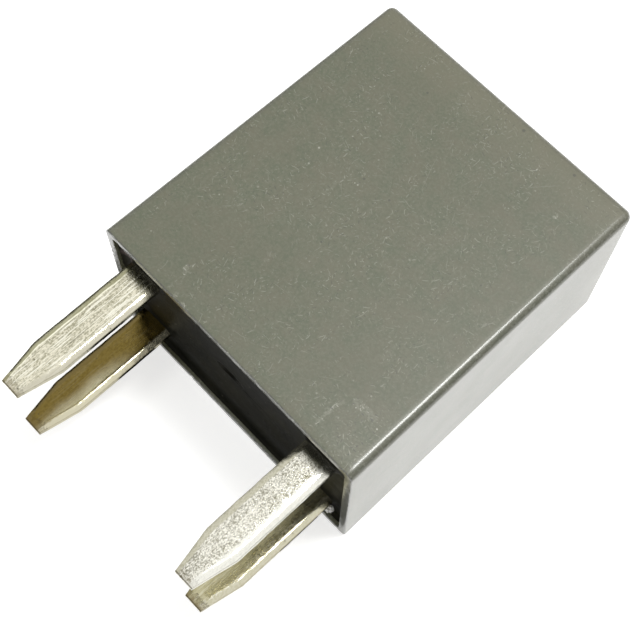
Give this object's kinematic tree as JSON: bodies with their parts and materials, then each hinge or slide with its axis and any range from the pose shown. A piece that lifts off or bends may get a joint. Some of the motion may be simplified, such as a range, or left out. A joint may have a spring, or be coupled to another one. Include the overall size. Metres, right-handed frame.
{
  "type": "automotive relay",
  "caption": "Plug-in relay with four flat blades: a coil and armature that close one pair of contacts, under a closed plastic cover",
  "frame": {"origin": "middle of the cover's rim, the plane that seats in the socket", "axes": "+X across the width, +Y from the rim to the closed end (the blades point to -Y), +Z out of the wide front face; the relay lies on its wide back face"},
  "size_m": [0.023, 0.0371, 0.0152],
  "materials": {
    "cover_plastic": "fine matt, lightly scratched",
    "base_plastic": "matt",
    "sealant_resin": "glossy, poured",
    "tinned_copper": "tin plated, drawn and scuffed",
    "plated_iron": "satin plated",
    "bobbin_plastic": "satin",
    "enamelled_copper": "enamelled wire",
    "copper_alloy": "rolled",
    "contact_silver": "satin",
    "rivet_brass": "satin",
    "resistor_coat": "lacquered",
    "solder": "bright"
  },
  "bodies": {
    "housing": {"cover": "cover_plastic", "base": "base_plastic", "sealant": "sealant_resin", "coil_terminal_front": "tinned_copper", "coil_terminal_back": "tinned_copper", "common_terminal": "tinned_copper", "contact_terminal": "tinned_copper", "yoke": "plated_iron", "core": "plated_iron", "rest_stop": "plated_iron", "bobbin": "bobbin_plastic", "winding": "enamelled_copper", "contact_spring": "copper_alloy", "fixed_contact": "contact_silver", "spring_rivets": "rivet_brass", "terminal_rivet": "rivet_brass", "suppression_resistor": "resistor_coat", "solder_joints": "solder"},
    "armature": {"armature": "plated_iron", "moving_contact": "contact_silver", "armature_rivets": "rivet_brass"}
  },
  "joints": [
    {"name": "armature_hinge", "type": "hinge", "parent": "housing", "child": "armature", "pos_m": [-0.0086, 0.0206, 0], "axis": [0, 0, 1], "range_deg": [-1.76, 0], "stiffness_Nm_per_rad": 0.004, "springref_deg": 5.16, "deforming": ["contact_spring"]}
  ]
}
